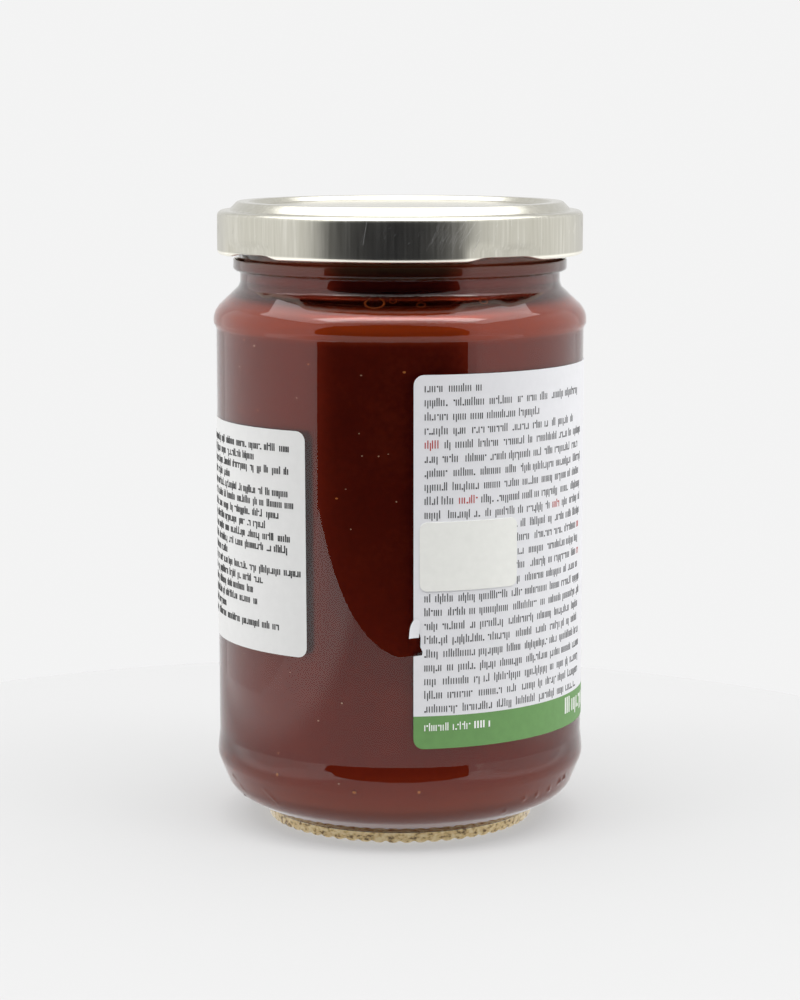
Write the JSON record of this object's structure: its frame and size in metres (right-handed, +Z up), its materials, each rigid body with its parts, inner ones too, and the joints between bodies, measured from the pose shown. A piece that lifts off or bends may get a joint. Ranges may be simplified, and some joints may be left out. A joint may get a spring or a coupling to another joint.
{
  "type": "jar of tomato paste",
  "caption": "Round glass jar filled with tomato paste, closed by a metal twist-off lid, with wrap-round paper labels on its straight body.",
  "frame": {"origin": "middle of the ring that the jar stands on, at table height", "axes": "+Z up the jar's axis, -Y towards the front, +X to the right of the front"},
  "size_m": [0.068, 0.068, 0.1136],
  "materials": {
    "glass": "clear soda-lime container glass, smooth and glossy, faintly yellow-green where it is thick",
    "paste": "dense dark red-brown tomato paste pressed against the glass, with fine lighter flecks and a few air bubbles",
    "tinplate": "bare silver tinplate with fine upright brush lines on the skirt and a few scratches",
    "sealing_compound": "soft cream sealing compound",
    "label_paper": "white coated paper with rows of small dark print and a green band along the bottom",
    "sticker_paper": "white matt sticker with rows of bold black print",
    "cream_sticker": "plain cream sticker, slightly ghosted"
  },
  "bodies": {
    "root": {"glass_jar": "glass", "tomato_paste": "paste", "lid": "tinplate", "lid_seal": "sealing_compound", "label_main": "label_paper", "label_side": "sticker_paper", "label_price": "cream_sticker"}
  },
  "joints": []
}
